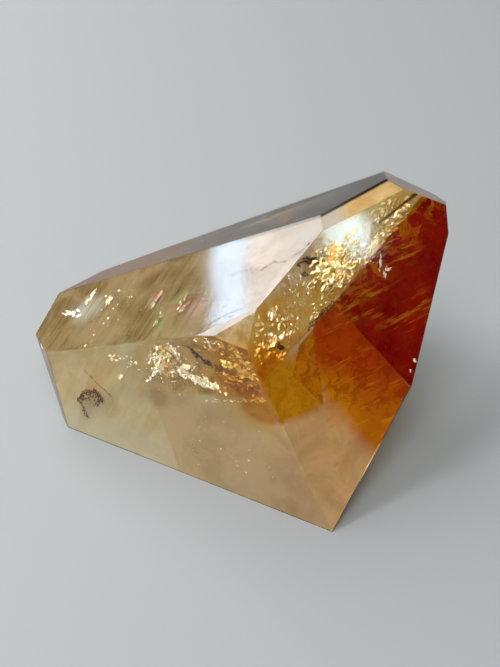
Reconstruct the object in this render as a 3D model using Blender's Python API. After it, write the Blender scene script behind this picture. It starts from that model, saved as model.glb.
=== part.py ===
"""Polished honey calcite: one clear, honey-coloured stone ground to flat facets.

The stone lies on its largest flat. It is made the way it was ground: a rough block is
trimmed by one flat cut per facet. Metres, +Z up, the origin under the middle of the stone.
"""
import math

import bmesh
import bpy
from mathutils import Vector

MM = 0.001

# The rough block the facets are ground from.
BLOCK_LENGTH = 120.0 * MM
BLOCK_DEPTH = 100.0 * MM
BLOCK_HEIGHT = 64.0 * MM

# Every facet: the compass turn its face looks to (degrees from +X towards +Y), the rise of
# that look above the level (degrees), and how far from the origin the face lies (mm).
FACETS = [
    # the faces that show from the front
    ("front", 243.22, 15.00, 22.63),
    ("broad_right", 297.44, 36.62, 35.02),
    ("top", 193.30, 61.87, 37.42),
    ("left_end", 207.02, -0.51, 40.04),
    # the narrow faces round the raised tip
    ("tip_strip", 234.03, 82.55, 50.84),
    ("tip_bevel", 41.00, 58.87, 69.72),
    ("tip_side", 355.27, 10.45, 56.67),
    ("tip_back", 63.45, 17.26, 58.63),
    # the long shoulder behind the top, and the thin bevel on its crest
    ("shoulder", 136.94, 59.55, 43.16),
    ("crest_bevel", 125.05, 53.37, 45.13),
    # the far side and the undercut faces between it and the resting flat
    ("back", 96.16, 7.80, 35.75),
    ("back_left", 118.46, -24.91, 28.71),
    ("left_under", 143.17, -37.85, 26.46),
    ("right_under", 8.20, -48.19, 11.20),
    ("tip_under", 16.24, -32.35, 20.28),
    # the worn corner where top, front and broad right face meet
    ("worn_corner_upper", 219.54, 57.17, 38.10),
    ("worn_corner_lower", 246.46, 45.71, 36.45),
]

MERGE_DISTANCE = 0.00001


def facing(turn, rise):
    """The outward direction of a face from its compass turn and its rise."""
    turn, rise = math.radians(turn), math.radians(rise)
    return Vector((math.cos(rise) * math.cos(turn), math.cos(rise) * math.sin(turn), math.sin(rise)))


def rough_block():
    """A plain block standing on the floor, centred over the origin."""
    bm = bmesh.new()
    bmesh.ops.create_cube(bm, size=1.0)
    bmesh.ops.scale(bm, vec=(BLOCK_LENGTH, BLOCK_DEPTH, BLOCK_HEIGHT), verts=bm.verts)
    bmesh.ops.translate(bm, vec=(0.0, 0.0, BLOCK_HEIGHT / 2), verts=bm.verts)
    return bm


def grind(bm, turn, rise, reach):
    """Grind one flat: everything beyond the face goes, and the cut is closed by one face."""
    normal = facing(turn, rise)
    everything = list(bm.verts) + list(bm.edges) + list(bm.faces)
    bmesh.ops.bisect_plane(
        bm, geom=everything, dist=MERGE_DISTANCE, plane_co=normal * reach * MM,
        plane_no=normal, clear_outer=True, clear_inner=False)
    rim = [edge for edge in bm.edges if edge.is_boundary]
    if len(rim) < 3:
        raise RuntimeError("a facet does not meet the stone")
    bmesh.ops.edgeloop_fill(bm, edges=rim)


def main():
    for old in list(bpy.data.objects):
        bpy.data.objects.remove(old, do_unlink=True)

    bm = rough_block()
    for name, turn, rise, reach in FACETS:
        grind(bm, turn, rise, reach)
    bmesh.ops.remove_doubles(bm, verts=bm.verts, dist=MERGE_DISTANCE)
    bmesh.ops.recalc_face_normals(bm, faces=bm.faces)

    mesh = bpy.data.meshes.new("calcite_stone")
    bm.to_mesh(mesh)
    bm.free()
    stone = bpy.data.objects.new("calcite_stone", mesh)
    bpy.context.collection.objects.link(stone)

    honey = bpy.data.materials.new("honey_calcite")
    honey.use_nodes = True
    shader = honey.node_tree.nodes["Principled BSDF"]
    shader.inputs["Base Color"].default_value = (0.62, 0.36, 0.12, 1.0)
    shader.inputs["Roughness"].default_value = 0.08
    shader.inputs["Metallic"].default_value = 0.0
    mesh.materials.append(honey)


main()
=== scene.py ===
import math
import random

import bmesh
import bpy
from mathutils import Matrix, Vector


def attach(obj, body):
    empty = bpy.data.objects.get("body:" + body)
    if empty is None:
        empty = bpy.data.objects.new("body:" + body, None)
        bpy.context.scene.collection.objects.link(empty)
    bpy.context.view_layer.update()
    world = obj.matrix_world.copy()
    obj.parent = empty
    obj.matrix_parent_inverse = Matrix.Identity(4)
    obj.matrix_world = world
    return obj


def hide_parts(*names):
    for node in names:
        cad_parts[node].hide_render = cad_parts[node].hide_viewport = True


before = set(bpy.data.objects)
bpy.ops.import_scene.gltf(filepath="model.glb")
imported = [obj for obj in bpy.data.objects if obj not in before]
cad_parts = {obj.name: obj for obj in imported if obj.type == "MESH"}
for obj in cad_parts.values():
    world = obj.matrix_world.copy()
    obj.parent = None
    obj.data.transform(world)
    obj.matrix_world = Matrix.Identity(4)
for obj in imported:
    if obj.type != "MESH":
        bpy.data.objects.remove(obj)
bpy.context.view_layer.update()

bl_info = {
    "name": "Polished calcite stone",
    "version": (1, 0, 0),
    "blender": (4, 5, 0),
    "location": "3D View > Sidebar > Stone",
    "description": "Builds a clear honey-coloured stone with facets, veils, stains and flecks",
    "category": "Add Mesh",
}

MM = 0.001
UP = (0.0, 0.0, 1.0)
RIGHT = (1.0, 0.0, 0.0)

# Facets: turn about the vertical and rise of the outward direction, in degrees.
FRONT = (243.22, 15.00)
BROAD_RIGHT = (297.44, 36.62)
TOP = (193.30, 61.87)
TIP_STRIP = (234.03, 82.55)
SHOULDER = (136.94, 59.55)
LEFT_END = (207.02, -0.51)
WORN_UPPER = (219.54, 57.17)
WORN_LOWER = (246.46, 45.71)

# How far the shoulder's plane lies from the origin, in millimetres.
SHOULDER_REACH = 43.16

# Corners of the coloured zones, in millimetres. On the broad right facet the maroon heart lies
# between heart, tip and heel, the rust zone below it, and the brown strip left of the rust zone.
ZONE_HEART = (22.5, -3.8, 40.2)
ZONE_TIP = (45.1, 19.0, 53.4)
ZONE_HEEL = (41.1, -10.8, 20.3)
BROWN_TOP = (17.7, -8.4, 37.6)
BROWN_KNEE = (18.4, -13.0, 31.5)
BROWN_FOOT = (20.3, -19.5, 22.8)
GOLD_TOP = (14.5, -12.3, 35.0)
GOLD_KNEE = (13.3, -17.1, 30.0)
GOLD_FOOT = (7.9, -26.7, 21.9)

# The gold of the rust zone fades along this direction.
FOOT_FALL = (1.14, 0.0, 1.0)

# Corners of a thin dark wedge near the tip.
WEDGE_POINT = (30.1, 8.7, 50.4)
WEDGE_UPPER = (41.6, 18.5, 54.9)
WEDGE_LOWER = (41.6, 17.7, 54.0)

# Ends of the seam that parts the straw-coloured left of the front facet from its pinkish right.
SEAM_TOP = (-20.5, -10.4, 18.2)
SEAM_FOOT = (-13.7, -19.3, 0.0)

# Ends of the line on the front facet above which the stone is brown, patchy and full of flecks.
RIDGE_LEFT = (-20.5, -10.5, 18.2)
RIDGE_RIGHT = (6.2, -21.4, 26.7)

# The veil's own colour where the zones of the body colour it.
PALE = (1.0, 0.90, 0.69)

# Directions of the fine growth lines under the top facet and in the maroon heart.
TOP_GROWTH = (0.467, 0.815, 0.344)
HEART_GROWTH = (0.85, 0.52, 0.09)

# Camera: place, look down in degrees, lens length in picture heights, and the height of the
# picture on the sensor in millimetres.
EYE = (0.00346, -0.18604, 0.19496)
LOOK_DOWN = 42.0
LENS_HEIGHTS = 1050.0 / 667.0
SENSOR_HEIGHT = 24.0

# The room is bright but for a dark side at the front right. It fades while the cosine to that
# side goes through the fade, down to the dark strength.
ROOM_TINT = (0.93, 0.96, 1.0, 1.0)
ROOM_DARK_SIDE = (0.77, -0.52, 0.37)
ROOM_FADE = (0.50, 0.86)
ROOM_DARK = 0.03

# Lamps: name, direction from the stone, direction of the width, width and height in metres,
# glow, tint. All stand at one distance and look back at the middle of the stone.
LAMP_WHITE = (1.0, 0.98, 0.95)
LAMP_DISTANCE = 1.2
LAMP_AIM = Vector((0.0, 0.0, 0.035))
KEY = (-0.640, 0.180, 0.750)
FILL = (-0.089, -0.330, 0.940)
LAMPS = (
    ("window", (-0.600, 0.635, 0.487), (0.579, -0.100, 0.810), (0.046, 0.34), 11.5,
     (0.50, 0.76, 1.0)),
    ("curtain", (-0.411, 0.580, 0.698), (0.729, -0.282, 0.633), (0.66, 0.87), 6.0,
     (1.0, 0.96, 0.92)),
    ("key", KEY, (0.2, 1.0, 0.0), (0.55, 0.55), 10.0, LAMP_WHITE),
    ("fill", FILL, RIGHT, (0.75, 0.65), 7.6, LAMP_WHITE),
    ("panel", (-0.811, -0.547, 0.208), (-0.559, 0.829, 0.0), (0.45, 0.35), 5.5, LAMP_WHITE),
    ("lantern", (0.757, -0.452, 0.472), (0.727, 0.527, -0.441), (0.060, 0.050), 19.0,
     (0.66, 0.90, 1.0)),
)


# -------------------------------- settings

def amount(name, description, default, unit="NONE"):
    """A setting that is nought or more."""
    return bpy.props.FloatProperty(
        name=name, description=description, default=default, min=0.0, unit=unit)


def hue(name, description, default):
    """A setting that is a colour."""
    return bpy.props.FloatVectorProperty(
        name=name, description=description, subtype="COLOR", size=3, default=default,
        min=0.0, max=1.0)


class StoneSettings(bpy.types.PropertyGroup):
    """What the polished body looks like."""
    edge_wear: amount(
        "Edge wear", "Width of the rounding that handling leaves on an edge", 0.1 * MM, "LENGTH")
    honey: hue("Honey", "Colour that light takes on inside the stone", (0.87, 0.62, 0.10))
    depth: amount("Depth of colour", "How fast the colour builds up inside, per metre", 22.0)
    ior: bpy.props.FloatProperty(
        name="Index of refraction", description="How strongly the stone bends light",
        default=1.55, min=1.0, max=2.5)


class InsideSettings(bpy.types.PropertyGroup):
    """The veils, flecks and dark marks inside the stone."""
    haze_depth: amount(
        "Haze depth", "How far a cloudy veil's rim lies behind its facet", 0.1 * MM, "LENGTH")
    haze_sag: amount(
        "Haze sag", "How much deeper a veil's middle lies than its rim", 1.1 * MM, "LENGTH")
    film: amount("Film", "Thickness of veils and flecks", 0.05 * MM, "LENGTH")
    fleck_colour: hue("Fleck colour", "Colour of the bright flecks", (1.0, 0.93, 0.74))
    gold_colour: hue("Golden flecks", "Colour of the golden flecks", (1.0, 0.85, 0.44))
    dark_colour: hue("Dark marks", "Colour of the dark marks", (0.05, 0.025, 0.010))


class StageSettings(bpy.types.PropertyGroup):
    """The floor, the lights and the camera."""
    floor: hue("Floor", "Colour of the pale floor", (0.25, 0.27, 0.28))
    lamps: amount("Lamps", "Strength of the soft lamps against the room's light", 1.0)
    room: amount("Room", "Strength of the soft light from all around", 0.25)


# -------------------------------- places

def facing(turn, rise):
    """The outward direction of a facet, from its turn and its rise in degrees."""
    turn, rise = math.radians(turn), math.radians(rise)
    level = math.cos(rise)
    return Vector((level * math.cos(turn), level * math.sin(turn), math.sin(rise)))


def millimetres(place):
    """A place or size given in millimetres, as a vector in metres."""
    return Vector(place) * MM


def bent_inside(direction, facet):
    """A direction that points away from a facet, as it runs on the stone's side of that facet."""
    out = facing(*facet)
    slant = (direction - direction.dot(out) * out) / bpy.context.scene.calcite_stone.ior
    return slant + out * math.sqrt(1.0 - slant.length_squared)


def eye_inside(place, facet):
    """The direction from a spot in millimetres inside the stone to the eye, behind a facet."""
    return bent_inside((Vector(EYE) - millimetres(place)).normalized(), facet)


def glint_side(place, facet, lamp):
    """The way a fleck behind a spot of a facet faces when it shows a lamp's light to the eye."""
    lamp_place = LAMP_AIM + Vector(lamp).normalized() * LAMP_DISTANCE
    to_lamp = bent_inside((lamp_place - millimetres(place)).normalized(), facet)
    return (eye_inside(place, facet) + to_lamp).normalized()


def behind(place, facet, depth):
    """The place that the eye sees behind a spot of a facet, both in millimetres."""
    return millimetres(place) - eye_inside(place, facet) * depth * MM


# -------------------------------- materials

class Wire:
    """One value in a material. Sums and products of wires add the maths nodes."""

    def __init__(self, bench, socket):
        self.bench = bench
        self.socket = socket

    def maths(self, operation, *values):
        """A new wire with the result of one maths operation."""
        return self.bench.node("ShaderNodeMath", dict(enumerate(values)), {"operation": operation})

    def __add__(self, other):
        return self.maths("ADD", self, other)

    __radd__ = __add__

    def __sub__(self, other):
        return self.maths("SUBTRACT", self, other)

    def __rsub__(self, other):
        return self.maths("SUBTRACT", other, self)

    def __mul__(self, other):
        return self.maths("MULTIPLY", self, other)

    __rmul__ = __mul__


class Bench:
    """Where one material's nodes are put together."""

    def __init__(self, name):
        self.material = bpy.data.materials.new(name)
        self.material.use_nodes = True
        self.tree = self.material.node_tree
        self.tree.nodes.clear()
        self.output = self.tree.nodes.new("ShaderNodeOutputMaterial")
        self.place = self.node("ShaderNodeTexCoord", take="Object")

    def node(self, kind, sockets=None, settings=None, take=0):
        """Adds a node with the values or links of its sockets, and hands over one output."""
        made = self.tree.nodes.new(kind)
        for key, value in (settings or {}).items():
            setattr(made, key, value)
        for key, value in (sockets or {}).items():
            self.fill(made.inputs[key], value)
        return Wire(self, made.outputs[take])

    def fill(self, socket, value):
        """Links a wire to a socket, or sets the socket to a value."""
        if isinstance(value, Wire):
            self.tree.links.new(value.socket, socket)
        elif socket.type == "RGBA" and len(value) == 3:
            socket.default_value = (*value, 1.0)
        else:
            socket.default_value = value

    def finish(self, shader, inside=None):
        """Sets what the surface and the inside show, and hands over the material."""
        self.fill(self.output.inputs["Surface"], shader)
        if inside:
            self.fill(self.output.inputs["Volume"], inside)
        return self.material

    def vector(self, operation, first, second, take="Vector"):
        """One operation on two vectors."""
        return self.node(
            "ShaderNodeVectorMath", {0: first, 1: second}, {"operation": operation}, take)

    def along(self, direction):
        """How far a point lies along a direction, in metres."""
        return self.vector("DOT_PRODUCT", self.place, direction, "Value")

    def step(self, wire, start, end, low=0.0, high=1.0):
        """Goes softly from low to high while the wire goes from start to end."""
        return self.node(
            "ShaderNodeMapRange",
            {"Value": wire, "From Min": start, "From Max": end, "To Min": low, "To Max": high},
            {"interpolation_type": "SMOOTHSTEP"})

    def rightwards(self, start, end, low=0.0, high=1.0):
        """Goes from low at the left to high at the right; start and end in millimetres."""
        return self.step(self.along(RIGHT), start * MM, end * MM, low, high)

    def upwards(self, start, end, low=0.0, high=1.0):
        """Goes from low below to high above; start and end in millimetres."""
        return self.step(self.along(UP), start * MM, end * MM, low, high)

    def noise(self, scale, detail=3.0, roughness=0.5, distortion=0.0, place=None):
        """Cloudy noise, scale in features per metre."""
        return self.node(
            "ShaderNodeTexNoise",
            {"Vector": place or self.place, "Scale": scale, "Detail": detail,
             "Roughness": roughness, "Distortion": distortion})

    def fibres(self, run, facet, along, across, detail=4.0):
        """Noise drawn out along a run in a facet, its two scales in features per metre."""
        run = Vector(run).normalized()
        out = facing(*facet)
        place = self.node(
            "ShaderNodeCombineXYZ",
            {"X": self.along(run) * along, "Y": self.along(out.cross(run)) * across,
             "Z": self.along(out) * across})
        return self.noise(1.0, detail=detail, roughness=0.6, place=place)

    def blob(self, centre, radii, soft=0.5):
        """One inside a soft egg of the given centre and radii in millimetres, nought outside."""
        apart = self.vector("DIVIDE", self.vector("SUBTRACT", self.place, millimetres(centre)),
                            millimetres(radii))
        away = self.vector("LENGTH", apart, (0.0, 0.0, 0.0), "Value")
        return self.step(away, 1.0 - soft, 1.0 + soft, 1.0, 0.0)

    def on_facet(self, facet, spot):
        """One on the facet that a spot in millimetres lies on, nought on its neighbours."""
        out = facing(*facet)
        return self.step(self.along(out) - out.dot(millimetres(spot)), -0.6 * MM, -0.3 * MM)

    def past_line(self, facet, start, end, soft=0.25 * MM, wobble=0.0):
        """One on the right hand of a walk across a facet from start to end, nought on the left."""
        across = (millimetres(end) - millimetres(start)).cross(facing(*facet)).normalized()
        return self.step(self.along(across) - across.dot(millimetres(start)) + wobble, -soft, soft)

    def mix(self, factor, first, second):
        """Goes from the first colour to the second with the factor."""
        made = self.tree.nodes.new("ShaderNodeMix")
        made.data_type = "RGBA"
        for number, value in ((0, factor), (6, first), (7, second)):
            self.fill(made.inputs[number], value)
        return Wire(self, made.outputs[2])

    def cloudy(self, clouds, thin, thick):
        """Goes from the thin colour to the thick one where the clouds gather."""
        return self.mix(self.step(clouds, 0.35, 0.65), thin, thick)


def body_tint(bench):
    """The stained zones of the body, with a painted shade on the shoulder facet, clear white
    elsewhere.
    """
    wobble = (bench.noise(220.0, detail=4.0) - 0.5) * (0.5 * MM)
    clouds = bench.noise(90.0, detail=5.0, roughness=0.6)
    side = bench.on_facet(BROAD_RIGHT, ZONE_HEART)

    def past(start, end):
        return bench.past_line(BROAD_RIGHT, start, end, wobble=wobble)

    under_roof = side * past(ZONE_HEART, ZONE_TIP)
    maroon = under_roof * (1.0 - past(ZONE_HEART, ZONE_HEEL))
    rust = side * past(ZONE_HEART, ZONE_HEEL) * past(BROWN_FOOT, BROWN_KNEE)
    rust = rust * past(BROWN_KNEE, BROWN_TOP) * past(BROWN_TOP, ZONE_HEART)
    strip = side * past(BROWN_FOOT, GOLD_KNEE) * past(GOLD_KNEE, GOLD_TOP)
    strip = strip * past(GOLD_TOP, ZONE_HEART) * bench.upwards(21.0, 25.0)
    slope = bench.along((0.5, 0.0, 1.0)) + wobble * 8.0

    hairs = bench.fibres(HEART_GROWTH, BROAD_RIGHT, 130.0, 1300.0, detail=5.0)
    mottles = bench.noise(330.0, detail=6.0, roughness=0.72, distortion=0.8)
    shores = 1.0 - bench.past_line(
        BROAD_RIGHT, ZONE_HEART, ZONE_TIP, 4.0 * MM, wobble * 6.0 - 4.0 * MM)
    deep = bench.mix(bench.step(clouds, 0.40, 0.66), (0.22, 0.0, 0.0), (0.38, 0.006, 0.0))
    shores = (shores * 0.85 + 0.03) * bench.step(mottles, 0.47, 0.60)
    deep = bench.mix(shores, deep, (0.92, 0.34, 0.004))
    swarm = bench.blob((30.4, -1.8, 37.6), (6.0, 5.0, 4.0))
    swarm = swarm + bench.blob((39.5, 0.5, 34.5), (6.0, 5.0, 5.0))
    swarm = swarm + bench.blob((38.4, 9.0, 45.6), (5.0, 4.0, 3.0))
    streaks = bench.step(hairs, 0.53, 0.60) * bench.step(clouds, 0.42, 0.52)
    streaks = streaks * (swarm * 0.85 + 0.01)
    deep = bench.mix(streaks, deep, (1.0, 0.58, 0.03))
    fall = bench.along(FOOT_FALL) + wobble * 6.0
    ochre = bench.mix(bench.rightwards(24.0, 31.0), (0.92, 0.40, 0.003), (0.66, 0.20, 0.002))
    amber = bench.mix(bench.step(fall, 43.0 * MM, 50.0 * MM), (1.0, 1.0, 1.0), ochre)
    amber = bench.mix(bench.step(slope, 35.0 * MM, 42.0 * MM), amber, (0.60, 0.07, 0.001))
    freckles = bench.step(mottles, 0.40, 0.58)
    blots = bench.step(mottles, 0.47, 0.57, 0.0, 0.8) * bench.step(slope, 30.0 * MM, 38.0 * MM)
    amber = bench.mix(blots, amber, (0.34, 0.035, 0.0))
    amber = bench.mix(bench.step(hairs, 0.56, 0.66, 0.0, 0.7), amber, (1.0, 0.50, 0.02))

    patch = bench.blob((3.2, -18.4, 32.0), (9.5, 9.0, 8.0), 0.4) * bench.step(clouds, 0.20, 0.40)
    golden = side * bench.past_line(BROAD_RIGHT, BROWN_FOOT, GOLD_FOOT, 0.9 * MM, wobble * 4.0)
    height = bench.along(UP) + wobble * 10.0
    golden = golden * bench.step(height, 32.0 * MM, 38.5 * MM, 1.0, 0.0)
    wedge = side * past(WEDGE_POINT, WEDGE_UPPER) * (1.0 - past(WEDGE_POINT, WEDGE_LOWER))
    wedge = wedge * (1.0 - under_roof)
    ember = bench.blob((6.0, -22.2, 23.9), (5.4, 4.6, 3.0), 0.3)
    ember = ember + bench.blob((2.0, -19.4, 27.6), (6.5, 4.5, 1.9), 0.4)
    tint = bench.mix(patch, (1.0, 1.0, 1.0), (0.98, 0.76, 0.26))
    tint = bench.mix(ember, tint, bench.mix(freckles, (0.62, 0.28, 0.01), (0.86, 0.50, 0.04)))
    tint = bench.mix(golden, tint, bench.mix(freckles, (0.64, 0.27, 0.003), (0.90, 0.44, 0.010)))
    tint = bench.mix(strip, tint, bench.mix(freckles, (0.42, 0.10, 0.001), (0.82, 0.32, 0.003)))
    tint = bench.mix(wedge, tint, (0.10, 0.03, 0.004))
    tint = bench.mix(rust, tint, amber)
    tint = bench.mix(maroon, tint, deep)

    # Painted shade: a near-black tint across the middle of the shoulder facet darkens what the eye
    # sees through the stone there.
    out = facing(*SHOULDER)
    shoulder_painted_shade = bench.step(bench.along(out), (SHOULDER_REACH - 0.6) * MM, (SHOULDER_REACH - 0.3) * MM)
    shoulder_painted_shade = shoulder_painted_shade * bench.step(bench.along(RIGHT) + wobble * 12.0, -24.0 * MM, 32.0 * MM)
    return bench.mix(shoulder_painted_shade, tint, (0.02, 0.006, 0.005))


def clear_stone_finish(settings):
    """Polished clear stone: transmission, refraction and absorption, with stained zones and a
    painted shade on the shoulder.
    """
    bench = Bench("clear_honey_stone")
    grain = bench.noise(2600.0, detail=2.0)
    peel = bench.noise(70.0, detail=1.0)
    ripple = bench.noise(330.0, detail=2.0)
    scuffs = bench.fibres((0.6, -0.5, 0.5), TOP, 60.0, 1600.0)
    pits = bench.noise(1300.0, detail=2.0) * bench.on_facet(TOP, (1.2, -5.3, 42.4))
    micrometres = grain * 2.6 + pits * 3.0 + ripple * 5.0 + peel * 30.0 + scuffs * 3.5
    bump = bench.node(
        "ShaderNodeBump",
        {"Strength": 1.0, "Distance": 0.001 * MM, "Height": micrometres})
    return bench.finish(
        bench.node(
            "ShaderNodeBsdfPrincipled",
            {"Base Color": body_tint(bench),
             "Roughness": bench.step(scuffs, 0.45, 0.75, 0.03, 0.11),
             "IOR": settings.ior, "Transmission Weight": 1.0, "Normal": bump}),
        bench.node(
            "ShaderNodeVolumeAbsorption",
            {"Color": tuple(settings.honey), "Density": settings.depth}))


def haze_finish(name, paint, glow):
    """A fine cloudy veil under a facet; paint gives its colour, density and relief by place."""
    bench = Bench(name)
    clouds = bench.noise(110.0, detail=6.0, roughness=0.6, distortion=0.5)
    tint, density, relief = paint(bench, clouds)
    crumple = bench.noise(430.0, detail=6.0, roughness=0.7, distortion=0.8)
    bump = bench.node(
        "ShaderNodeBump",
        {"Strength": 1.0, "Distance": 0.4 * MM, "Height": crumple * relief})
    return bench.finish(bench.node(
        "ShaderNodeBsdfPrincipled",
        {"Base Color": tint, "Roughness": 0.75, "IOR": 1.33, "Transmission Weight": glow,
         "Alpha": density, "Normal": bump}))


def fleck_finish(name, colour, shade, metallic=0.7, roughness=0.36):
    """A healed crack that shines like foil, or a dark grain, with slight changes of colour."""
    bench = Bench(name)
    patches = bench.noise(900.0, detail=3.0)
    return bench.finish(bench.node(
        "ShaderNodeBsdfPrincipled",
        {"Base Color": bench.mix(bench.step(patches, 0.4, 0.6), colour, shade),
         "Metallic": metallic,
         "Roughness": bench.step(patches, 0.3, 0.7, roughness * 0.7, roughness * 1.3)}))


# Paints of the veils: each gives the colour, the density and the relief by place.

def front_paint(bench, clouds):
    """Straw on the left, pinkish on the right, brown and patchy above the ridge line."""
    wisps = bench.fibres((0.3, -0.2, 1.0), FRONT, 70.0, 330.0, detail=6.0)
    straw = bench.cloudy(wisps, (0.88, 0.72, 0.34), (1.0, 0.93, 0.58))
    straw = bench.mix(bench.upwards(2.0, 12.0, 0.8, 0.0), straw, (1.0, 0.95, 0.72))
    pink = bench.cloudy(clouds, (0.86, 0.68, 0.38), (0.94, 0.77, 0.46))
    tan = bench.cloudy(clouds, (0.82, 0.58, 0.30), (0.90, 0.67, 0.37))
    pink = bench.mix(bench.rightwards(2.0, 18.0), pink, tan)
    left = bench.past_line(FRONT, SEAM_TOP, SEAM_FOOT)
    left = 1.0 - (1.0 - left) * (1.0 - bench.upwards(18.0, 22.0))
    patches = bench.noise(260.0, detail=5.0, roughness=0.65, distortion=1.0)
    brown = bench.cloudy(patches, (0.62, 0.40, 0.10), (1.0, 0.76, 0.34))
    rich = bench.cloudy(patches, (0.60, 0.30, 0.01), (0.96, 0.62, 0.10))
    brown = bench.mix(bench.rightwards(-12.0, -2.0), brown, rich)
    wander = (clouds - 0.5) * (3.0 * MM)
    ridge = 1.0 - bench.past_line(FRONT, RIDGE_LEFT, RIDGE_RIGHT, 0.9 * MM, wander)
    tint = bench.mix(left, pink, straw)
    tint = bench.mix(ridge * bench.rightwards(-26.0, -12.0), tint, brown)
    gold = bench.blob((4.0, -21.5, 22.5), (7.0, 5.0, 4.5))
    tint = bench.mix(gold, tint, (0.86, 0.62, 0.16))
    knob = bench.blob((-18.3, -11.3, 17.0), (2.8, 2.8, 2.8))
    tint = bench.mix(knob * 0.6, tint, (0.50, 0.33, 0.14))
    density = bench.rightwards(-40.0, 0.0, 0.82, 0.58)
    density = density * bench.step(clouds, 0.25, 0.6, 0.85, 1.0)
    crumpled = ridge * bench.rightwards(-16.0, 0.0)
    return tint, density + (0.92 - density) * crumpled, crumpled * 0.65 + 0.35


def top_paint(bench, clouds):
    """Olive with growth lines and painted rosy and green sheens on the left, cream on the right.
    """
    lines = bench.fibres(TOP_GROWTH, TOP, 50.0, 900.0)
    olive = bench.cloudy(lines, (0.38, 0.25, 0.06), (0.58, 0.43, 0.18))
    olive = bench.mix(bench.step(clouds, 0.42, 0.62, 0.0, 0.5), olive, (0.78, 0.64, 0.36))
    wisp = bench.blob((-38.4, 12.8, 24.2), (6.0, 4.0, 3.0))
    wisp = wisp * bench.step(lines, 0.30, 0.60, 0.45, 0.95)
    olive = bench.mix(wisp, olive, (0.96, 1.0, 0.86))
    rusty = bench.blob((-20.0, 13.4, 33.6), (7.0, 2.6, 3.4), 0.6)
    rusty = rusty * bench.step(lines, 0.40, 0.56)
    olive = bench.mix(rusty * 0.8, olive, (0.26, 0.13, 0.01))
    # Painted sheen: rosy and green patches along the growth lines stand in for the rainbow sheen
    # of thin cracks.
    rosy_painted_sheen = bench.blob((-20.0, 6.0, 32.8), (2.8, 2.2, 2.0))
    rosy_painted_sheen = rosy_painted_sheen + bench.blob((-9.8, -1.6, 37.2), (3.4, 2.6, 2.2))
    olive = bench.mix(rosy_painted_sheen * bench.step(lines, 0.36, 0.50), olive, (1.0, 0.66, 0.50))
    green_painted_sheen = bench.blob((-12.4, 3.0, 36.4), (3.0, 2.6, 2.0))
    green_painted_sheen = green_painted_sheen + bench.blob((-18.4, -3.6, 32.4), (3.2, 2.8, 2.2))
    green_painted_sheen = green_painted_sheen * bench.step(lines, 0.46, 0.58) * 0.7
    olive = bench.mix(green_painted_sheen, olive, (0.56, 0.72, 0.26))
    cream = bench.cloudy(clouds, (0.76, 0.66, 0.54), (0.88, 0.80, 0.70))
    density = bench.step(clouds, 0.2, 0.6, 0.45, 0.64)
    veins = bench.noise(330.0, detail=6.0, roughness=0.7, distortion=1.5)
    cream = bench.mix(bench.step(veins, 0.48, 0.62, 0.0, 0.5), cream, (0.40, 0.34, 0.33))
    cream = bench.mix(bench.rightwards(6.0, 18.0, 0.0, 0.6), cream, (0.42, 0.38, 0.34))
    return bench.mix(bench.rightwards(-12.0, 2.0), olive, cream), density, 0.5


def side_paint(bench, clouds):
    """A golden crown and a tan foot, pale behind the stained zones."""
    patches = bench.noise(230.0, detail=6.0, roughness=0.7, distortion=1.2)
    grey = bench.cloudy(patches, (0.82, 0.56, 0.26), (1.0, 0.84, 0.54))
    gold = bench.cloudy(patches, (1.0, 0.70, 0.18), (1.0, 0.88, 0.38))
    honey = bench.cloudy(patches, (1.0, 0.52, 0.06), (1.0, 0.77, 0.25))
    tint = bench.mix(bench.rightwards(16.0, 22.0), grey, gold)
    height = bench.along(UP)
    upper = bench.step(height + clouds * (4.0 * MM), 44.5 * MM, 48.5 * MM)
    tint = bench.mix(upper, honey, tint)
    zones = bench.step(height + clouds * (8.0 * MM), 31.0 * MM, 37.0 * MM, 1.0, 0.0)
    under_roof = bench.past_line(BROAD_RIGHT, ZONE_HEART, ZONE_TIP)
    tint = bench.mix(zones, bench.mix(under_roof, tint, PALE), PALE)
    foot = 1.0 - bench.past_line(BROAD_RIGHT, BROWN_FOOT, GOLD_FOOT, 1.0 * MM)
    left = 1.0 - bench.past_line(BROAD_RIGHT, BROWN_FOOT, BROWN_KNEE)
    fall = bench.step(bench.along(FOOT_FALL), 43.0 * MM, 50.0 * MM, 1.0, 0.0)
    foot = foot * (left + (1.0 - left) * fall)
    tan = bench.cloudy(clouds, (0.82, 0.55, 0.25), (0.98, 0.68, 0.33))
    tint = bench.mix(foot, tint, tan)
    crown = (1.0 - zones) * (1.0 - under_roof)
    return tint, bench.step(clouds, 0.25, 0.6, 0.84, 0.92), crown * 0.6 + 0.4


def corner_paint(bench, clouds):
    """Patches of honey and cream."""
    patches = bench.noise(300.0, detail=5.0, roughness=0.7)
    return bench.cloudy(patches, (0.72, 0.48, 0.17), (1.0, 0.84, 0.52)), 0.85, 1.0


def rim_paint(bench, clouds):
    """Patches of dark and pale brown."""
    patches = bench.noise(300.0, detail=5.0, roughness=0.7)
    return bench.cloudy(patches, (0.36, 0.27, 0.18), (0.60, 0.52, 0.42)), 0.8, 0.6


def strip_paint(bench, clouds):
    """Gold, pale at the left end."""
    gold = bench.cloudy(clouds, (0.92, 0.62, 0.22), (0.98, 0.80, 0.40))
    return (bench.mix(bench.rightwards(23.0, 27.0), (0.88, 0.82, 0.72), gold),
            bench.step(clouds, 0.25, 0.6, 0.70, 0.85), 0.4)


# -------------------------------- shapes

# Corners closer than this are one, and faces that bend less than this, in degrees, are one facet.
MERGE_GAP = 0.02 * MM
FLAT_BEND = 0.5

# The cosine between two directions of one facet, and of facets that all but share a plane.
SAME_FACET = math.cos(math.radians(2))
NEAR_FACET = 0.99

# Facets that face up less than this keep their edges sharp.
WORN_RISE = 0.08


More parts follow.
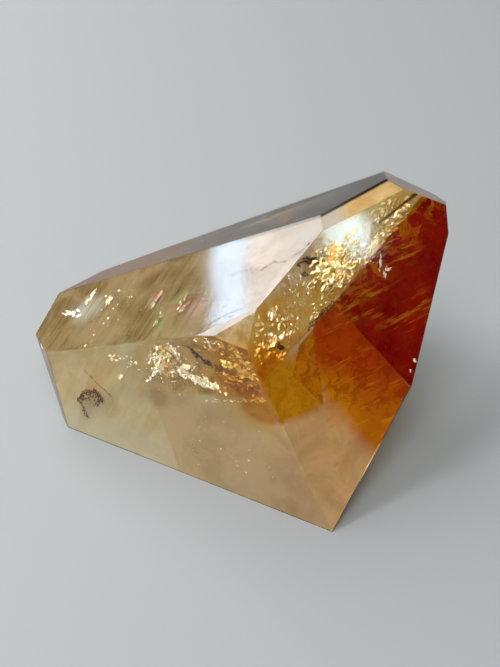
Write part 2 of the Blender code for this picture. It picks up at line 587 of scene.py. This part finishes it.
def select_only(*things):
    """Leaves these objects selected and the first one active, in object mode."""
    if bpy.context.object and bpy.context.object.mode != "OBJECT":
        bpy.ops.object.mode_set(mode="OBJECT")
    bpy.ops.object.select_all(action="DESELECT")
    for thing in things:
        thing.select_set(True)
    bpy.context.view_layer.objects.active = things[0]


def edit_all():
    """Opens the active object for editing, with all of it selected."""
    bpy.ops.object.mode_set(mode="EDIT")
    bpy.ops.mesh.select_all(action="SELECT")


def thicken(sheet, thickness):
    """Turns a sheet into a closed wall behind its face."""
    select_only(sheet)
    wall = sheet.modifiers.new("wall", "SOLIDIFY")
    wall.thickness = thickness
    wall.offset = -1.0
    bpy.ops.object.modifier_apply(modifier=wall.name)


def finish_piece(thing, material):
    """Gives a piece its material and its place on the stone's body."""
    thing.data.materials.clear()
    thing.data.materials.append(material)
    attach(thing, "root")


def whole_stone(name):
    """A copy of the solid with its loose triangles merged back into flat facets."""
    stone = bpy.data.objects.new(name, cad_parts["calcite_stone"].data.copy())
    bpy.context.scene.collection.objects.link(stone)
    select_only(stone)
    edit_all()
    bpy.ops.mesh.remove_doubles(threshold=MERGE_GAP)
    bpy.ops.mesh.dissolve_limited(angle_limit=math.radians(FLAT_BEND))
    bpy.ops.mesh.normals_make_consistent(inside=False)
    bpy.ops.object.mode_set(mode="OBJECT")
    return stone


def skin_behind(name, facet, depth, thickness, sag):
    """A thin closed skin close behind one facet, its middle sunk deeper than its rim."""
    skin = whole_stone(name)
    edit_all()
    bpy.ops.transform.shrink_fatten(value=-depth, use_even_offset=True)
    bpy.ops.mesh.select_all(action="DESELECT")
    rough = bmesh.from_edit_mesh(skin.data)
    for face in rough.faces:
        face.select_set(face.normal.dot(facing(*facet)) < SAME_FACET)
    bmesh.update_edit_mesh(skin.data)
    bpy.ops.mesh.delete(type="FACE")
    bpy.ops.mesh.select_all(action="SELECT")
    if sag:
        bpy.ops.mesh.inset(thickness=2.5 * sag, depth=-sag)
    bpy.ops.object.mode_set(mode="OBJECT")
    thicken(skin, thickness)
    bpy.ops.object.shade_smooth_by_angle(angle=math.radians(40))
    return skin


def jagged_plate(seed, thickness):
    """A thin crumpled plate of about one millimetre across with a jagged rim."""
    bpy.ops.object.select_all(action="DESELECT")
    bpy.ops.mesh.primitive_circle_add(vertices=8, radius=0.5 * MM, fill_type="TRIFAN")
    plate = bpy.context.object
    edit_all()
    bpy.ops.transform.vertex_random(offset=0.26 * MM, seed=seed)
    bpy.ops.transform.resize(value=(1.0, 1.0, 0.4))
    bpy.ops.object.mode_set(mode="OBJECT")
    thicken(plate, thickness)
    return plate


def grain_lump(seed):
    """A small angular grain of about one millimetre across."""
    bpy.ops.object.select_all(action="DESELECT")
    bpy.ops.mesh.primitive_ico_sphere_add(subdivisions=1, radius=0.5 * MM)
    lump = bpy.context.object
    edit_all()
    bpy.ops.transform.vertex_random(offset=0.12 * MM, seed=seed)
    bpy.ops.object.mode_set(mode="OBJECT")
    return lump


def scattered(name, models, spots):
    """Copies of the models at many spots, joined: each spot is a place, three axes and sizes."""
    copies = []
    for number, (place, axes, sizes) in enumerate(spots):
        copy = bpy.data.objects.new(name, models[number % len(models)].data.copy())
        turn = Matrix(axes).transposed().to_4x4()
        copy.data.transform(Matrix.Translation(place) @ turn @ Matrix.Diagonal((*sizes, 1.0)))
        bpy.context.scene.collection.objects.link(copy)
        copies.append(copy)
    select_only(*copies)
    bpy.ops.object.join()
    piece = bpy.context.object
    piece.name = name
    return piece


def frame_about(out, turn):
    """Three axes with the last along a direction, turned about it by an angle."""
    across = out.orthogonal().normalized()
    across = Matrix.Rotation(turn, 3, out) @ across
    return across, out.cross(across), out


# Runs that patches of flecks share: on the ridge of the front facet, and on the crown, the maroon
# heart and the right edge of the broad right facet.
ALONG_RIDGE = (0.88, -0.46, 0.1)
DOWN_RIDGE = (0.93, -0.36, -0.10)
ACROSS_RIDGE = (3.1, -1.0, -3.4)
ALONG_CROWN = (0.65, 0.66, 0.38)
UP_CROWN = (0.2, 0.5, 0.8)
DOWN_CROWN = (0.6, -0.3, 0.7)
UP_HEART = (0.1, 0.65, 0.75)
RIGHT_EDGE = (0.9, 0.3, -0.1)

# Bright flecks: name, facet in front of them, lamp that they catch, and patches. A patch has its
# middle near the facet, its half-sizes along the run, across it in the facet and in depth, the
# run, the number of flecks, and a fleck's size and length to width. All in millimetres.
FLECKS = (
    ("ridge_flecks", FRONT, KEY, (
        ((-18.2, -9.7, 24.3), (3.0, 0.7, 0.4), (3.1, -0.2, 4.4), 60, 1.1, 2.4),
        ((-14.2, -9.6, 31.0), (2.4, 1.0, 0.4), ACROSS_RIDGE, 44, 0.9, 2.6),
        ((-18.4, -8.8, 27.4), (2.2, 1.6, 0.5), (0.5, 0.1, 0.9), 40, 0.9, 2.2),
        ((-12.9, -11.8, 26.6), (2.6, 0.9, 0.3), (0.8, -0.5, 0.4), 12, 1.9, 2.0),
        ((-7.4, -14.7, 25.6), (4.4, 0.9, 0.4), DOWN_RIDGE, 120, 1.0, 2.2),
        ((-1.6, -15.6, 32.3), (1.8, 0.7, 0.4), (0.88, -0.46, -0.12), 30, 0.7, 1.6),
        ((-14.0, -11.6, 26.0), (8.0, 4.0, 0.7), ALONG_RIDGE, 110, 0.4, 1.8),
        ((-6.0, -12.4, 36.0), (6.0, 0.8, 0.4), ALONG_RIDGE, 34, 0.5, 1.8),
        ((-26.5, -5.9, 24.0), (5.0, 1.4, 0.5), (0.88, -0.46, 0.0), 34, 0.45, 1.6),
        ((-27.6, -6.5, 19.3), (0.4, 0.4, 0.2), RIGHT, 7, 0.8, 1.1),
        ((-20.0, -9.5, 18.0), (13.0, 8.0, 0.6), RIGHT, 60, 0.26, 1.4),
        ((5.9, -21.2, 26.4), (1.4, 0.5, 0.3), (0.88, -0.46, 0.15), 18, 0.65, 1.8),
        ((-0.3, -19.0, 24.0), (6.5, 0.3, 0.2), (13.1, -5.1, 5.2), 50, 0.4, 3.0),
        ((0.0, -22.0, 11.0), (14.0, 9.0, 0.6), RIGHT, 50, 0.22, 1.4))),
    ("heart_flecks", BROAD_RIGHT, FILL, (
        ((8.4, -13.2, 37.7), (1.2, 1.2, 0.4), (0.5, 0.3, 0.8), 12, 0.8, 1.5),
        ((10.4, -14.6, 34.6), (2.4, 1.2, 0.4), (0.8, 0.3, 0.4), 14, 0.6, 2.6),
        ((9.6, -9.6, 41.4), (2.4, 3.2, 0.6), UP_CROWN, 14, 0.7, 3.4),
        ((15.0, -4.6, 44.0), (5.0, 4.0, 0.6), UP_CROWN, 110, 0.45, 3.0))),
    ("top_flecks", TOP, KEY, (
        ((-41.7, 13.4, 22.4), (2.2, 1.2, 0.4), (0.9, -0.4, 0.3), 22, 0.8, 2.4),
        ((-36.6, 15.9, 25.4), (2.4, 0.8, 0.4), TOP_GROWTH, 20, 0.9, 2.6),
        ((-31.4, 12.3, 27.6), (2.0, 0.8, 0.4), TOP_GROWTH, 18, 0.9, 2.6),
        ((-30.0, 8.0, 28.5), (12.0, 6.0, 0.6), TOP_GROWTH, 50, 0.28, 2.6))),
)

# Golden flecks, listed in the same way.
GOLD_FLECKS = (
    ("gold_ridge_flecks", FRONT, KEY, (
        ((-16.3, -9.4, 28.4), (4.0, 2.4, 0.5), ACROSS_RIDGE, 70, 0.9, 1.8),
        ((-2.2, -14.6, 35.4), (5.0, 1.6, 0.5), ALONG_RIDGE, 70, 0.4, 1.8),
        ((0.6, -15.4, 35.8), (4.0, 2.2, 0.5), ALONG_RIDGE, 40, 0.8, 1.8),
        ((3.0, -17.4, 34.0), (2.8, 2.2, 0.6), ALONG_RIDGE, 70, 0.7, 1.6),
        ((2.6, -18.0, 31.4), (2.8, 0.9, 0.4), (0.88, -0.46, -0.1), 60, 0.7, 2.0),
        ((0.4, -17.6, 29.4), (6.0, 1.4, 0.5), DOWN_RIDGE, 90, 0.45, 1.8),
        ((5.2, -21.0, 26.8), (1.6, 0.5, 0.3), (0.88, -0.46, 0.15), 18, 0.6, 1.8))),
    ("gold_heart_flecks", BROAD_RIGHT, FILL, (
        ((6.8, -15.0, 36.4), (3.4, 2.2, 0.6), DOWN_CROWN, 60, 0.7, 1.8),
        ((5.4, -12.6, 40.2), (2.2, 2.0, 0.5), DOWN_CROWN, 40, 0.6, 1.8),
        ((9.6, -9.6, 41.4), (2.4, 3.2, 0.6), UP_CROWN, 40, 0.7, 3.0),
        ((12.6, -10.6, 38.2), (3.0, 2.4, 0.5), (0.3, 0.5, 0.8), 44, 0.6, 2.6),
        ((18.2, -6.8, 39.4), (2.4, 0.8, 0.4), (0.7, 0.3, 0.6), 34, 0.6, 1.8))),
    ("crown_flecks", BROAD_RIGHT, FILL, (
        ((22.6, 1.6, 47.6), (5.5, 3.4, 0.6), ALONG_CROWN, 420, 0.9, 3.0),
        ((25.0, 1.4, 44.9), (5.0, 1.8, 0.5), ALONG_CROWN, 360, 0.8, 3.0),
        ((36.4, 12.4, 50.7), (6.0, 1.6, 0.4), ALONG_CROWN, 220, 0.8, 3.4),
        ((39.6, 16.4, 53.4), (3.0, 0.9, 0.4), ALONG_CROWN, 70, 0.7, 3.0),
        ((32.2, 7.6, 47.6), (3.6, 1.2, 0.4), ALONG_CROWN, 150, 0.8, 3.0),
        ((34.4, 13.9, 54.0), (6.0, 1.5, 0.4), ALONG_CROWN, 130, 0.7, 3.4),
        ((26.0, 9.0, 53.4), (3.6, 1.6, 0.4), ALONG_CROWN, 60, 0.6, 3.4))),
)

# Iridescent cracks under the top facet.
RAINBOW = (("rainbow_cracks", TOP, KEY, (
    ((-19.2, 5.0, 33.1), (2.8, 1.0, 0.5), TOP_GROWTH, 18, 1.1, 3.2),
    ((-12.3, 1.4, 36.4), (3.2, 0.9, 0.5), TOP_GROWTH, 22, 1.1, 3.4),
    ((-11.6, -0.6, 36.3), (2.0, 0.9, 0.5), TOP_GROWTH, 16, 1.1, 2.6),
    ((-18.0, -1.2, 32.9), (2.6, 0.8, 0.5), TOP_GROWTH, 14, 1.0, 3.0))),)

# Marks on the surface: a pale zigzag chip in the maroon heart, small chips along the right edge,
# a chipped corner at the left end, and fine scratches. Each lists its facet and its patches.
CHIPS = (
    ("surface_chips", BROAD_RIGHT, (
        ((33.6, 5.6, 44.6), (1.7, 0.30, 0.0), UP_HEART, 22, 0.55, 2.6),
        ((34.7, 4.2, 42.3), (1.3, 0.35, 0.0), UP_HEART, 18, 0.55, 2.4),
        ((35.4, 5.0, 43.0), (0.8, 0.25, 0.0), RIGHT_EDGE, 8, 0.45, 2.0),
        ((42.2, -6.4, 24.9), (0.2, 0.5, 0.0), RIGHT_EDGE, 6, 0.42, 1.4),
        ((41.2, -8.4, 23.2), (0.2, 0.4, 0.0), RIGHT_EDGE, 5, 0.4, 1.4),
        ((39.0, -13.3, 18.6), (0.2, 0.3, 0.0), RIGHT_EDGE, 4, 0.35, 1.4))),
    ("tip_glint", LEFT_END, (
        ((-48.5, 6.7, 17.0), (0.4, 0.4, 0.0), (0.4, -0.8, 0.1), 10, 0.6, 1.5),)),
    ("shoulder_scratches", SHOULDER, (
        ((-14.0, 14.0, 38.0), (22.0, 2.2, 0.0), (0.93, 0.0, 0.36), 34, 2.4, 30.0),
        ((8.0, 15.0, 46.0), (16.0, 1.6, 0.0), (0.93, -0.1, 0.36), 26, 2.0, 30.0))),
    ("top_scratches", TOP, (
        ((-4.0, 0.0, 40.0), (12.0, 6.0, 0.0), (0.6, -0.6, 0.3), 22, 1.6, 26.0),
        ((12.0, 4.0, 48.6), (8.0, 3.0, 0.0), (0.9, 0.0, 0.45), 14, 1.4, 24.0))),
)

# Dark marks: name, facet in front, depth in millimetres, how many times lighter than the dark
# colour, and threads. A thread is a list of spots on the facet, its half-width, its scatter and
# grains per millimetre.
MARKS = (
    ("needle", FRONT, 0.6, 1.0, (
        (((-10.6, -10.9, 33.2), (-9.0, -12.0, 32.2), (-7.6, -12.8, 31.9)), 0.22, 0.25, 9.0),
        (((-9.0, -12.2, 31.8), (-6.5, -13.7, 31.0), (-5.2, -14.4, 30.8)), 0.20, 0.40, 8.0),
        (((-6.5, -13.5, 31.5), (-4.6, -14.8, 30.6), (-2.0, -16.1, 30.6)), 0.12, 0.45, 9.0))),
    ("root", FRONT, 0.6, 2.6, (
        (((-10.8, -18.4, 8.4), (-9.4, -19.4, 7.2), (-7.2, -20.6, 6.6)), 0.09, 0.35, 6.0),
        (((-39.1, -3.9, 8.8), (-37.3, -3.9, 11.6), (-34.4, -5.0, 13.0), (-32.9, -6.2, 11.5),
          (-34.6, -6.0, 9.2)), 0.18, 0.6, 16.0),
        (((-38.6, -4.0, 8.6), (-37.5, -5.5, 6.2), (-36.8, -6.2, 4.8)), 0.14, 0.4, 12.0),
        (((-38.4, -4.2, 9.0), (-37.0, -4.6, 10.4)), 0.16, 0.6, 16.0),
        (((-36.0, -5.0, 10.4), (-34.8, -5.4, 11.6), (-33.4, -5.6, 12.6)), 0.16, 0.7, 14.0),
        (((-36.6, -2.5, 17.5), (-33.6, -4.6, 15.2), (-29.6, -7.4, 12.9)), 0.08, 0.12, 8.0))),
    ("shadow_grain", BROAD_RIGHT, 0.7, 2.0, (
        (((14.0, -0.8, 48.9), (16.0, 0.4, 49.3), (18.4, 1.0, 48.6)), 0.26, 0.7, 16.0),
        (((14.6, -1.6, 47.2), (16.6, -1.6, 46.2)), 0.16, 0.8, 7.0),
        (((10.0, -13.6, 36.2), (10.8, -13.6, 35.2)), 0.24, 0.4, 14.0))),
    ("zone_seams", BROAD_RIGHT, 0.3, 2.2, (
        (((22.6, -3.8, 40.2), (18.8, -6.9, 38.7), (16.4, -9.6, 37.0)), 0.12, 0.5, 14.0),
        ((GOLD_TOP, GOLD_KNEE, (20.0, -18.9, 23.4)), 0.06, 0.25, 7.0),
        (((17.7, -9.4, 36.6), BROWN_KNEE, (20.1, -18.4, 24.0)), 0.06, 0.20, 7.0))),
    ("top_cracks", TOP, 0.0, 2.6, (
        (((-0.7, 3.5, 42.5), (3.5, 3.4, 44.6), (6.2, 1.2, 45.8)), 0.08, 0.35, 12.0),
        (((6.2, 1.2, 45.8), (8.5, 2.5, 47.1), (11.4, 0.8, 48.4)), 0.10, 0.35, 14.0),
        (((11.4, 0.8, 48.4), (14.7, 2.0, 50.3), (17.0, 3.6, 51.8)), 0.08, 0.30, 12.0),
        (((-5.1, -10.2, 38.6), (-0.6, -9.2, 41.0), (1.9, -11.3, 41.6)), 0.07, 0.10, 9.0),
        (((1.9, -11.3, 41.6), (3.4, -10.4, 42.6), (5.2, -9.8, 43.8)), 0.07, 0.10, 9.0),
        (((-7.6, -9.4, 37.3), (-4.6, -8.6, 39.0), (-1.5, -8.1, 40.7), (1.9, -8.1, 42.4)),
         0.06, 0.06, 10.0),
        (((-8.1, -1.3, 38.1), (-4.8, -1.5, 39.7), (0.3, -2.7, 42.2)), 0.05, 0.18, 4.0))),
)


# How far most flecks keep from the middle of their patch, in half-sizes, how far a plate reaches
# from its own middle, in sizes, how deep a fleck's highest point stays under the patch's plane,
# how high a chip's may stand out of it, and how far grains stay behind other facets.
PATCH_SPREAD = 0.55
PLATE_REACH = 0.62
FLECK_COVER = 0.05
CHIP_RISE = 0.07
GRAIN_MARGIN = 0.2


def well_inside(spot, margin, facet):
    """Whether a spot lies behind all facets but the given one, by a margin in millimetres."""
    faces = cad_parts["calcite_stone"].data.polygons
    own = facing(*facet)
    return all(
        face.normal.dot(own) > NEAR_FACET or (spot - face.center).dot(face.normal) < -margin * MM
        for face in faces)


def strewn(rng):
    """A random vector with a spread of one in all directions."""
    return Vector((rng.gauss(0, 1), rng.gauss(0, 1), rng.gauss(0, 1)))


def fleck_spots(rng, facet, patches, lamp, nearest, loose=0.10):
    """Where flecks lie, nearest deep or deeper. With a lamp they are turned to catch its light."""
    out = facing(*facet)
    cover = FLECK_COVER if nearest > 0.0 else -CHIP_RISE
    spots = []
    for middle, spread, run, count, size, slim in patches:
        face = glint_side(middle, facet, lamp) if lamp else out
        run = Vector(run).normalized()
        run = (run - run.dot(out) * out).normalized()
        side = out.cross(run)
        for _ in range(count):
            deep = nearest + spread[2] * min(abs(rng.gauss(0.0, 0.4)), 1.0)
            shift = run * rng.gauss(0.0, PATCH_SPREAD) * spread[0]
            shift += side * rng.gauss(0.0, PATCH_SPREAD) * spread[1]
            spot = behind(middle, facet, deep) + shift * MM
            tilt = (face + strewn(rng) * loose).normalized()
            across = (run - run.dot(tilt) * tilt).normalized()
            across = Matrix.Rotation(rng.gauss(0.0, 3.5 * loose), 3, tilt) @ across
            length = size * min(2.2, math.exp(rng.gauss(-0.1, 0.5)))
            margin = 0.1 + 0.4 * length if nearest > 0.0 else 0.0
            if well_inside(spot, margin, facet):
                aside = tilt.cross(across)
                rise = PLATE_REACH * length * (abs(across.dot(out)) + abs(aside.dot(out)) / slim)
                spot -= max(rise - deep + cover, 0.0) * MM * out
                spots.append((spot, (across, aside, tilt), (length, length / slim, 0.5)))
    return spots


def thread_spots(rng, facet, depth, threads):
    """Where the grains of dark threads lie, strewn about them but not out of the stone."""
    out = facing(*facet)
    spots = []
    for places, width, scatter, per_mm in threads:
        ends = [behind(place, facet, depth) for place in places]
        for start, end in zip(ends, ends[1:]):
            run = (end - start).normalized()
            for _ in range(max(2, round((end - start).length / MM * per_mm))):
                loose = strewn(rng) * scatter * 0.6 * MM
                loose -= max(loose.dot(out) - 0.5 * depth * MM, 0.0) * out
                axes = frame_about(run, rng.uniform(0.0, math.tau))
                broad = 2.0 * width * rng.uniform(0.4, 1.3)
                spot = start.lerp(end, rng.random()) + loose
                sizes = (broad, broad * rng.uniform(0.5, 1.0), broad * rng.uniform(1.2, 2.4))
                if well_inside(spot, GRAIN_MARGIN, facet):
                    spots.append((spot, axes, sizes))
    return spots


# -------------------------------- builders

# How much light a veil passes on, how deep flecks begin and how far chips stand out, in
# millimetres, the lighter shade of dark grains, and the seeds of all that is scattered.
VEIL_GLOW = 0.3
FLECK_DEPTH = 0.2
CHIP_LIFT = 0.04
LIGHTER_SHADE = 2.2
PLATE_SEEDS = range(1, 6)
LUMP_SEEDS = range(1, 5)
FLECK_SEED = 7
MARK_SEED = 11


class CALCITE_OT_stone(bpy.types.Operator):
    """Builds the polished stone with its worn edges"""
    bl_idname = "calcite.stone"
    bl_label = "Stone"

    def execute(self, context):
        settings = context.scene.calcite_stone
        stone = whole_stone("polished_stone")
        bpy.ops.object.mode_set(mode="EDIT")
        bpy.ops.mesh.select_all(action="DESELECT")
        rough = bmesh.from_edit_mesh(stone.data)
        for edge in rough.edges:
            edge.select_set(all(face.normal.z > WORN_RISE for face in edge.link_faces))
        bmesh.update_edit_mesh(stone.data)
        bpy.ops.mesh.bevel(offset=settings.edge_wear, segments=3, affect="EDGES")
        bpy.ops.object.mode_set(mode="OBJECT")
        bpy.ops.object.shade_smooth_by_angle(angle=math.radians(4))
        finish_piece(stone, clear_stone_finish(settings))
        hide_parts("calcite_stone")
        return {"FINISHED"}


class CALCITE_OT_haze(bpy.types.Operator):
    """Builds the cloudy veils close behind six facets"""
    bl_idname = "calcite.haze"
    bl_label = "Cloudy veils"

    def execute(self, context):
        settings = context.scene.calcite_inside
        for name, facet, paint, sag, glow in (
                ("front_haze", FRONT, front_paint, settings.haze_sag, VEIL_GLOW),
                ("top_haze", TOP, top_paint, settings.haze_sag, VEIL_GLOW),
                ("side_haze", BROAD_RIGHT, side_paint, settings.haze_sag, 0.0),
                ("strip_haze", TIP_STRIP, strip_paint, 0.0, VEIL_GLOW),
                ("upper_corner_haze", WORN_UPPER, rim_paint, 0.0, VEIL_GLOW),
                ("lower_corner_haze", WORN_LOWER, corner_paint, 0.0, VEIL_GLOW)):
            skin = skin_behind(name, facet, settings.haze_depth, settings.film, sag)
            finish_piece(skin, haze_finish(name, paint, glow))
        return {"FINISHED"}


class CALCITE_OT_flecks(bpy.types.Operator):
    """Builds the bright and golden flecks, the iridescent cracks, the chips and the scratches"""
    bl_idname = "calcite.flecks"
    bl_label = "Flecks and chips"

    def execute(self, context):
        settings = context.scene.calcite_inside
        rng = random.Random(FLECK_SEED)
        plates = [jagged_plate(seed, settings.film) for seed in PLATE_SEEDS]
        bright = fleck_finish(
            "bright_fleck", tuple(settings.fleck_colour), (1.0, 0.84, 0.50), roughness=0.3)
        golden = fleck_finish(
            "golden_fleck", tuple(settings.gold_colour), (0.85, 0.52, 0.14), roughness=0.42)
        rainbow = fleck_finish("rainbow_fleck", (0.22, 0.34, 0.12), (0.50, 0.22, 0.18), 0.6)
        for table, foil in ((FLECKS, bright), (GOLD_FLECKS, golden), (RAINBOW, rainbow)):
            for name, facet, lamp, patches in table:
                spots = fleck_spots(rng, facet, patches, lamp, FLECK_DEPTH)
                finish_piece(scattered(name, plates, spots), foil)
        dusty = fleck_finish("chip", (0.60, 0.46, 0.30), (0.80, 0.70, 0.54), 0.0, 0.5)
        for name, facet, patches in CHIPS:
            spots = fleck_spots(rng, facet, patches, None, -CHIP_LIFT, 0.02)
            finish_piece(scattered(name, plates, spots), dusty)
        for plate in plates:
            bpy.data.objects.remove(plate)
        return {"FINISHED"}


class CALCITE_OT_marks(bpy.types.Operator):
    """Builds the dark needle, the brown root, the dark grains, the seams and the cracks"""
    bl_idname = "calcite.marks"
    bl_label = "Dark marks"

    def execute(self, context):
        settings = context.scene.calcite_inside
        rng = random.Random(MARK_SEED)
        lumps = [grain_lump(seed) for seed in LUMP_SEEDS]
        for name, facet, depth, light, threads in MARKS:
            colour = tuple(min(1.0, part * light) for part in settings.dark_colour)
            shade = tuple(min(1.0, part * LIGHTER_SHADE) for part in colour)
            mark = scattered(name, lumps, thread_spots(rng, facet, depth, threads))
            finish_piece(mark, fleck_finish(name + "_grain", colour, shade, 0.0, 0.6))
        for lump in lumps:
            bpy.data.objects.remove(lump)
        return {"FINISHED"}


def soft_room(strength):
    """Light from all around, with a dark side."""
    world = bpy.data.worlds.new("soft_room")
    world.use_nodes = True
    nodes, links = world.node_tree.nodes, world.node_tree.links
    direction = nodes.new("ShaderNodeTexCoord")
    along = nodes.new("ShaderNodeVectorMath")
    along.operation = "DOT_PRODUCT"
    along.inputs[1].default_value = Vector(ROOM_DARK_SIDE).normalized()
    links.new(direction.outputs["Generated"], along.inputs[0])
    spread = nodes.new("ShaderNodeMapRange")
    spread.interpolation_type = "SMOOTHSTEP"
    for socket, value in zip(("From Min", "From Max", "To Min", "To Max"),
                             (*ROOM_FADE, strength, ROOM_DARK)):
        spread.inputs[socket].default_value = value
    links.new(along.outputs["Value"], spread.inputs["Value"])
    background = nodes["Background"]
    background.inputs["Color"].default_value = ROOM_TINT
    links.new(spread.outputs["Result"], background.inputs["Strength"])
    return world


def add_lamp(context, name, towards, across, size, glow, tint):
    """A soft rectangular lamp that faces the stone, its width along one direction."""
    back = Vector(towards).normalized()
    width = (Vector(across) - Vector(across).dot(back) * back).normalized()
    lamp = bpy.data.lights.new(name, "AREA")
    lamp.shape = "RECTANGLE"
    lamp.size, lamp.size_y = size
    lamp.color = tint
    lamp.energy = glow * math.pi * size[0] * size[1]
    holder = bpy.data.objects.new(name, lamp)
    turn = Matrix((width, back.cross(width), back)).transposed().to_4x4()
    holder.matrix_world = Matrix.Translation(LAMP_AIM + back * LAMP_DISTANCE) @ turn
    context.scene.collection.objects.link(holder)


class CALCITE_OT_stage(bpy.types.Operator):
    """Builds the pale floor, the soft lights and the camera"""
    bl_idname = "calcite.stage"
    bl_label = "Floor, lights and camera"

    def execute(self, context):
        settings = context.scene.calcite_stage
        bpy.ops.object.select_all(action="DESELECT")
        bpy.ops.mesh.primitive_plane_add(size=6.0, location=(0.0, 0.0, -0.1 * MM))
        floor = context.object
        floor.name = "stage_floor"
        bench = Bench("pale_floor")
        floor.data.materials.append(bench.finish(bench.node(
            "ShaderNodeBsdfPrincipled",
            {"Base Color": tuple(settings.floor), "Roughness": 0.6})))
        context.scene.world = soft_room(settings.room)
        for name, towards, across, size, glow, tint in LAMPS:
            add_lamp(context, name, towards, across, size, glow * settings.lamps, tint)

        lens = bpy.data.cameras.new("camera")
        lens.sensor_fit = "VERTICAL"
        lens.sensor_height = SENSOR_HEIGHT
        lens.lens = SENSOR_HEIGHT * LENS_HEIGHTS
        lens.clip_start = 0.01
        camera = bpy.data.objects.new("camera", lens)
        camera.location = EYE
        camera.rotation_euler = (math.radians(90.0 - LOOK_DOWN), 0.0, 0.0)
        context.scene.collection.objects.link(camera)
        context.scene.camera = camera
        context.scene.view_settings.view_transform = "Standard"
        return {"FINISHED"}


class CALCITE_PT_panel(bpy.types.Panel):
    """Lists the stone's builders"""
    bl_idname = "CALCITE_PT_panel"
    bl_label = "Polished stone"
    bl_space_type = "VIEW_3D"
    bl_region_type = "UI"
    bl_category = "Stone"

    def draw(self, context):
        for kind in BUILDERS:
            self.layout.operator(kind.bl_idname)
        for name in SETTINGS:
            settings = getattr(context.scene, name)
            for key in settings.__annotations__:
                self.layout.prop(settings, key)


BUILDERS = (
    CALCITE_OT_stone, CALCITE_OT_haze, CALCITE_OT_flecks, CALCITE_OT_marks, CALCITE_OT_stage)
SETTINGS = {
    "calcite_stone": StoneSettings,
    "calcite_inside": InsideSettings,
    "calcite_stage": StageSettings,
}
CLASSES = (*SETTINGS.values(), *BUILDERS, CALCITE_PT_panel)


def register():
    """Makes settings, builders and panel known to Blender."""
    for kind in CLASSES:
        bpy.utils.register_class(kind)
    for name, kind in SETTINGS.items():
        setattr(bpy.types.Scene, name, bpy.props.PointerProperty(type=kind))


def unregister():
    """Takes them out of Blender again."""
    for name in SETTINGS:
        delattr(bpy.types.Scene, name)
    for kind in reversed(CLASSES):
        bpy.utils.unregister_class(kind)


def main():
    """Builds everything."""
    register()
    bpy.ops.calcite.stone()
    bpy.ops.calcite.haze()
    bpy.ops.calcite.flecks()
    bpy.ops.calcite.marks()
    bpy.ops.calcite.stage()


if __name__ == "__main__":
    main()
